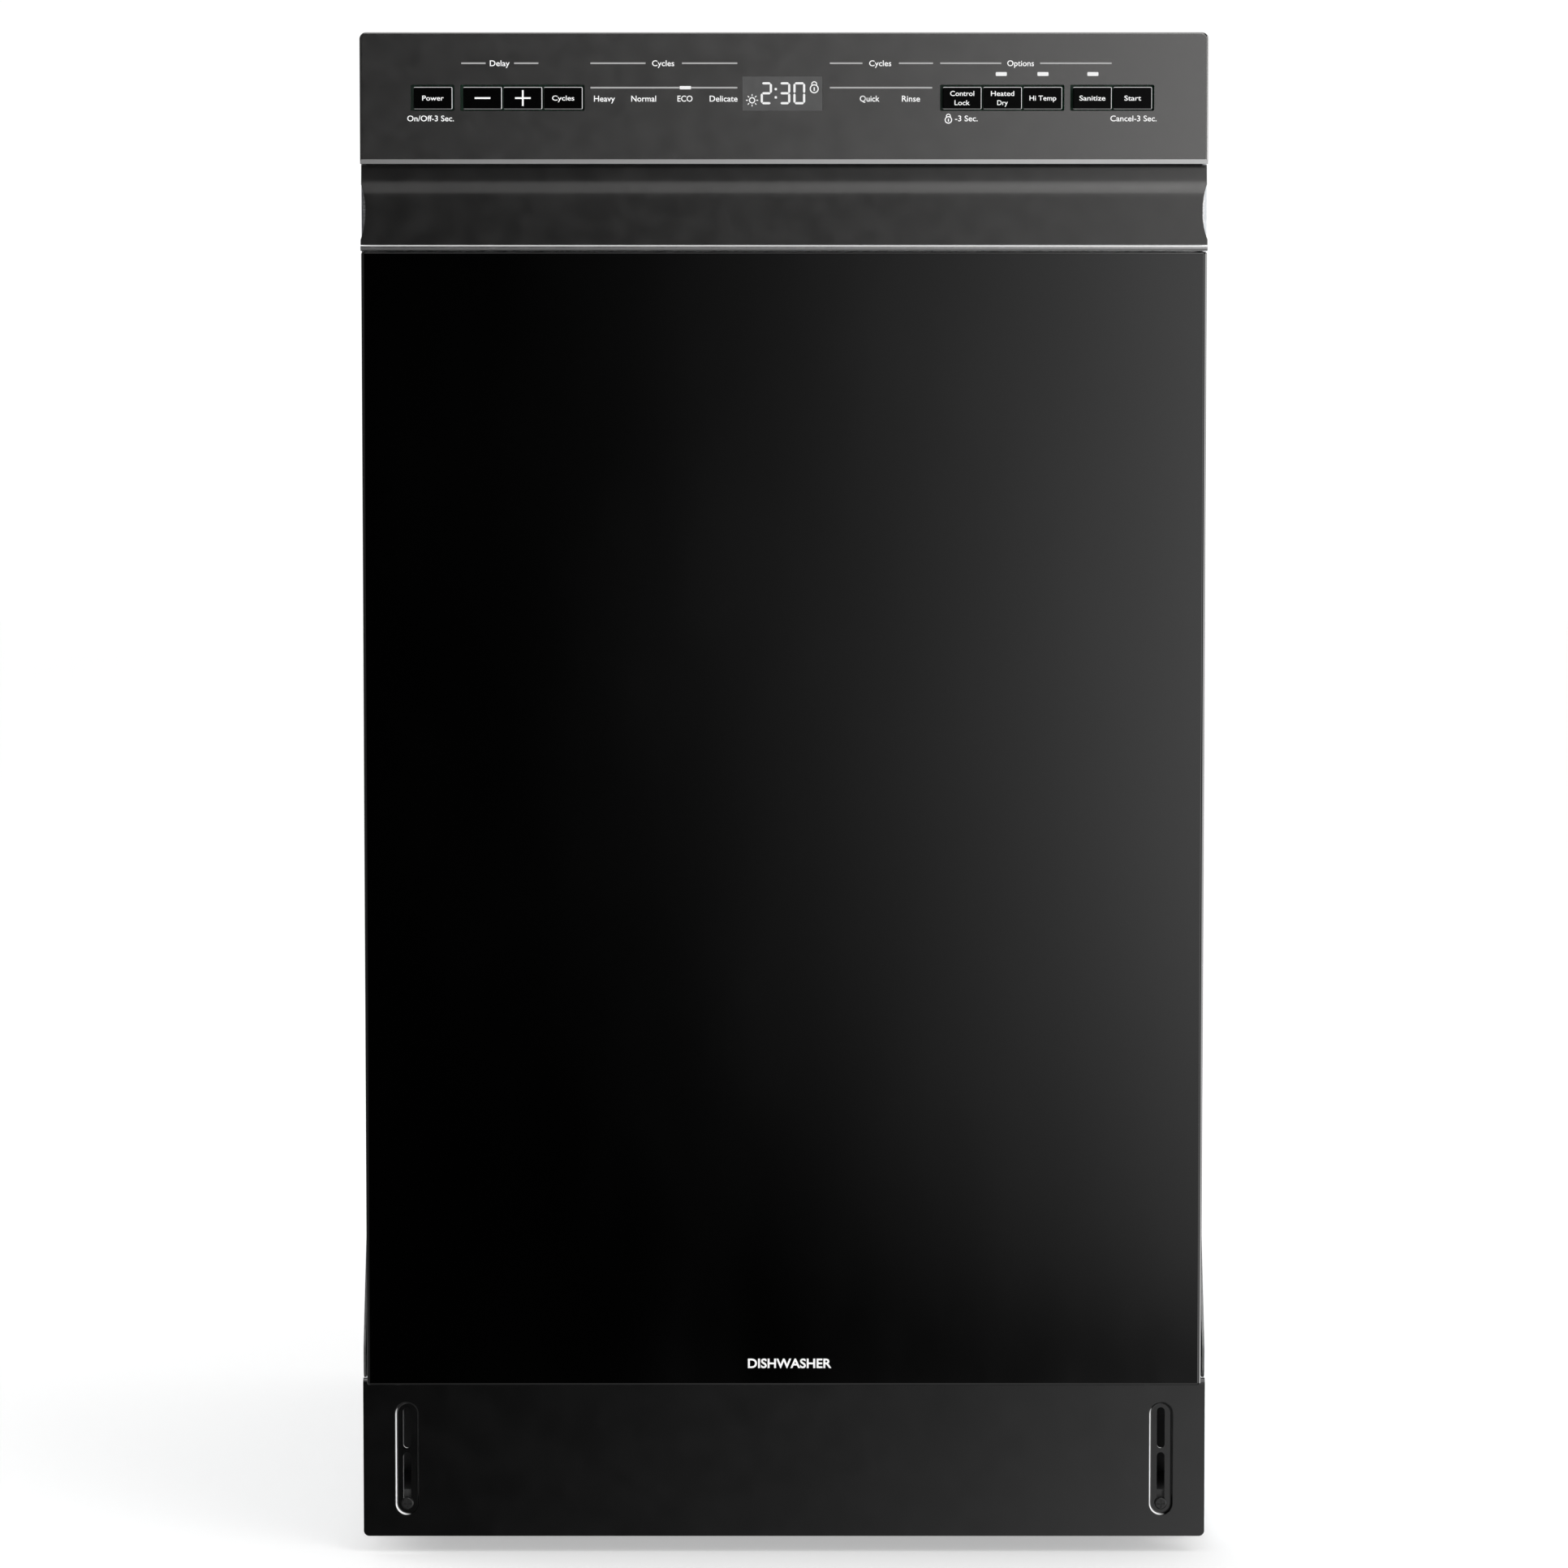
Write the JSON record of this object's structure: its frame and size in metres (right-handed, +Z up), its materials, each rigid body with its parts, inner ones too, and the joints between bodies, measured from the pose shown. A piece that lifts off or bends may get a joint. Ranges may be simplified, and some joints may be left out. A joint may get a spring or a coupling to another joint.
{
  "type": "built-in dishwasher",
  "caption": "Slimline built-in dishwasher with drop-down door, recessed grip, push-key panel, kick plate, sliding wire racks and spray arms.",
  "frame": {"origin": "on the floor, under the middle of the overall box", "axes": "+Z up, the door faces -Y, +X to the right of somebody facing the door"},
  "size_m": [0.452, 0.6, 0.814],
  "materials": {
    "base_plastic": "moulded, fine grain",
    "kick_paint": "satin black powder coat",
    "screw": "black oxide",
    "galvanised": "zinc-coated sheet with faint spangle",
    "felt": "needled felt",
    "spring_steel": "oiled spring wire",
    "foot_plastic": "moulded",
    "stainless": "fine brushed stainless",
    "rubber": "soft matt",
    "bright_steel": "plated",
    "dark_plastic": "moulded",
    "filter_plastic": "semi-gloss",
    "heater_steel": "dark sheath",
    "grey_plastic": "satin moulded",
    "white_plastic": "natural moulded",
    "rack_coating": "nylon-coated wire",
    "basket_plastic": "satin moulded",
    "panel_gloss": "gloss black",
    "fascia": "dark metallic paint",
    "display": "tinted window",
    "circuit_board": "solder mask",
    "key_gloss": "gloss black"
  },
  "bodies": {
    "cabinet": {"base_tray": "base_plastic", "kick_plate": "kick_paint", "kick_screws": "screw", "tub": "stainless", "side_panel_left": "galvanised", "side_panel_right": "galvanised", "sound_blanket": "felt", "worktop_brackets": "galvanised", "tub_gasket": "rubber", "hinge_brackets": "galvanised", "door_springs": "spring_steel", "sump": "dark_plastic", "wash_pump": "dark_plastic", "drain_pump": "dark_plastic", "inlet_valve": "white_plastic", "air_break_tank": "white_plastic", "internal_hoses": "rubber", "heating_element": "heater_steel", "filter_plate": "stainless", "feed_pipe": "grey_plastic", "latch_strike": "bright_steel", "junction_box": "galvanised", "rail_rollers": "grey_plastic"},
    "door": {"door_panel": "panel_gloss", "door_liner": "stainless", "control_fascia": "fascia", "handle_scoop": "fascia", "hinge_arms": "galvanised", "control_board": "circuit_board", "display_window": "display", "dispenser_body": "grey_plastic"},
    "latch_catch": {"latch_catch": "dark_plastic"},
    "dispenser_lid": {"dispenser_lid": "filter_plastic"},
    "rinse_cap": {"rinse_cap": "dark_plastic"},
    "upper_rack": {"upper_rack": "rack_coating", "rack_manifold": "grey_plastic"},
    "upper_rails": {"upper_rails": "bright_steel"},
    "cup_shelf": {"cup_shelf": "rack_coating"},
    "upper_spray_arm": {"upper_spray_arm": "grey_plastic"},
    "lower_rack": {"lower_rack": "rack_coating", "cutlery_basket": "basket_plastic"},
    "rack_wheels_front": {"rack_wheels_front": "grey_plastic"},
    "rack_wheels_rear": {"rack_wheels_rear": "grey_plastic"},
    "lower_spray_arm": {"lower_spray_arm": "grey_plastic"},
    "ceiling_sprayer": {"ceiling_sprayer": "grey_plastic"},
    "filter_cup": {"filter_cup": "filter_plastic"},
    "float_cap": {"float_cap": "grey_plastic"},
    "pump_impeller": {"pump_impeller": "grey_plastic"},
    "foot_front_left": {"foot_front_left": "foot_plastic"},
    "foot_front_right": {"foot_front_right": "foot_plastic"},
    "foot_rear": {"foot_rear": "foot_plastic"},
    "key_power": {"key_power": "key_gloss"},
    "key_minus": {"key_minus": "key_gloss"},
    "key_plus": {"key_plus": "key_gloss"},
    "key_cycles": {"key_cycles": "key_gloss"},
    "key_lock": {"key_lock": "key_gloss"},
    "key_heated_dry": {"key_heated_dry": "key_gloss"},
    "key_hi_temp": {"key_hi_temp": "key_gloss"},
    "key_sanitize": {"key_sanitize": "key_gloss"},
    "key_start": {"key_start": "key_gloss"}
  },
  "joints": [
    {"name": "door_hinge", "type": "hinge", "parent": "cabinet", "child": "door", "pos_m": [0, -0.283, 0.107], "axis": [1, 0, 0], "range_deg": [0, 90], "stiffness_Nm_per_rad": 13, "deforming": ["door_springs"]},
    {"name": "key_power_press", "type": "slide", "parent": "door", "child": "key_power", "axis": [0, 1, 0], "range_m": [0, 0.0012], "stiffness_N_per_m": 300, "springref_m": -0.004},
    {"name": "key_minus_press", "type": "slide", "parent": "door", "child": "key_minus", "axis": [0, 1, 0], "range_m": [0, 0.0012], "stiffness_N_per_m": 300, "springref_m": -0.004},
    {"name": "key_plus_press", "type": "slide", "parent": "door", "child": "key_plus", "axis": [0, 1, 0], "range_m": [0, 0.0012], "stiffness_N_per_m": 300, "springref_m": -0.004},
    {"name": "key_cycles_press", "type": "slide", "parent": "door", "child": "key_cycles", "axis": [0, 1, 0], "range_m": [0, 0.0012], "stiffness_N_per_m": 300, "springref_m": -0.004},
    {"name": "key_lock_press", "type": "slide", "parent": "door", "child": "key_lock", "axis": [0, 1, 0], "range_m": [0, 0.0012], "stiffness_N_per_m": 300, "springref_m": -0.004},
    {"name": "key_heated_dry_press", "type": "slide", "parent": "door", "child": "key_heated_dry", "axis": [0, 1, 0], "range_m": [0, 0.0012], "stiffness_N_per_m": 300, "springref_m": -0.004},
    {"name": "key_hi_temp_press", "type": "slide", "parent": "door", "child": "key_hi_temp", "axis": [0, 1, 0], "range_m": [0, 0.0012], "stiffness_N_per_m": 300, "springref_m": -0.004},
    {"name": "key_sanitize_press", "type": "slide", "parent": "door", "child": "key_sanitize", "axis": [0, 1, 0], "range_m": [0, 0.0012], "stiffness_N_per_m": 300, "springref_m": -0.004},
    {"name": "key_start_press", "type": "slide", "parent": "door", "child": "key_start", "axis": [0, 1, 0], "range_m": [0, 0.0012], "stiffness_N_per_m": 300, "springref_m": -0.004},
    {"name": "latch_catch_turn", "type": "hinge", "parent": "door", "child": "latch_catch", "pos_m": [0, -0.272, 0.796], "axis": [1, 0, 0], "range_deg": [0, 30], "stiffness_Nm_per_rad": 0.3, "springref_deg": -17.19},
    {"name": "dispenser_lid_slide", "type": "slide", "parent": "door", "child": "dispenser_lid", "axis": [0, 0, -1], "range_m": [0, 0.076]},
    {"name": "rinse_cap_turn", "type": "hinge", "parent": "door", "child": "rinse_cap", "pos_m": [0.042, -0.262, 0.47], "axis": [0, 1, 0], "range_deg": [0, 90]},
    {"name": "upper_rack_slide", "type": "slide", "parent": "cabinet", "child": "upper_rack", "axis": [0, -1, 0], "range_m": [0, 0.4]},
    {"name": "upper_rails_slide", "type": "slide", "parent": "cabinet", "child": "upper_rails", "axis": [0, -1, 0], "range_m": [0, 0.2]},
    {"name": "lower_rack_slide", "type": "slide", "parent": "cabinet", "child": "lower_rack", "axis": [0, -1, 0], "range_m": [0, 0.12]},
    {"name": "front_wheels_roll", "type": "hinge", "parent": "lower_rack", "child": "rack_wheels_front", "pos_m": [0, -0.15, 0.1572], "axis": [1, 0, 0], "range_deg": [0, 430]},
    {"name": "rear_wheels_roll", "type": "hinge", "parent": "lower_rack", "child": "rack_wheels_rear", "pos_m": [0, 0.15, 0.1572], "axis": [1, 0, 0], "range_deg": [0, 430]},
    {"name": "cup_shelf_fold", "type": "hinge", "parent": "upper_rack", "child": "cup_shelf", "pos_m": [-0.164, 0, 0.542], "axis": [0, -1, 0], "range_deg": [0, 80]},
    {"name": "upper_arm_spin", "type": "hinge", "parent": "upper_rack", "child": "upper_spray_arm", "pos_m": [0, 0.012, 0.428], "axis": [0, 0, 1], "continuous": true},
    {"name": "lower_arm_spin", "type": "hinge", "parent": "cabinet", "child": "lower_spray_arm", "pos_m": [0, 0.012, 0.148], "axis": [0, 0, 1], "continuous": true},
    {"name": "ceiling_sprayer_spin", "type": "hinge", "parent": "cabinet", "child": "ceiling_sprayer", "pos_m": [0, 0.012, 0.756], "axis": [0, 0, 1], "continuous": true},
    {"name": "filter_cup_turn", "type": "hinge", "parent": "cabinet", "child": "filter_cup", "pos_m": [0.062, -0.052, 0.11], "axis": [0, 0, 1], "range_deg": [0, 60]},
    {"name": "float_rise", "type": "slide", "parent": "cabinet", "child": "float_cap", "axis": [0, 0, 1], "range_m": [0, 0.008]},
    {"name": "impeller_spin", "type": "hinge", "parent": "cabinet", "child": "pump_impeller", "pos_m": [-0.09, 0.128, 0.074], "axis": [1, 0, 0], "continuous": true},
    {"name": "foot_front_left_screw", "type": "slide", "parent": "cabinet", "child": "foot_front_left", "axis": [0, 0, -1], "range_m": [0, 0.035]},
    {"name": "foot_front_right_screw", "type": "slide", "parent": "cabinet", "child": "foot_front_right", "axis": [0, 0, -1], "range_m": [0, 0.035]},
    {"name": "foot_rear_screw", "type": "slide", "parent": "cabinet", "child": "foot_rear", "axis": [0, 0, -1], "range_m": [0, 0.035]}
  ],
  "couplings": [
    {"joint": "upper_rack_slide", "follows": "door_hinge", "m_per_rad": 0.2546},
    {"joint": "upper_rails_slide", "follows": "door_hinge", "m_per_rad": 0.1273},
    {"joint": "lower_rack_slide", "follows": "door_hinge", "m_per_rad": 0.0763},
    {"joint": "front_wheels_roll", "follows": "door_hinge", "ratio": 4.769},
    {"joint": "rear_wheels_roll", "follows": "door_hinge", "ratio": 4.769}
  ]
}
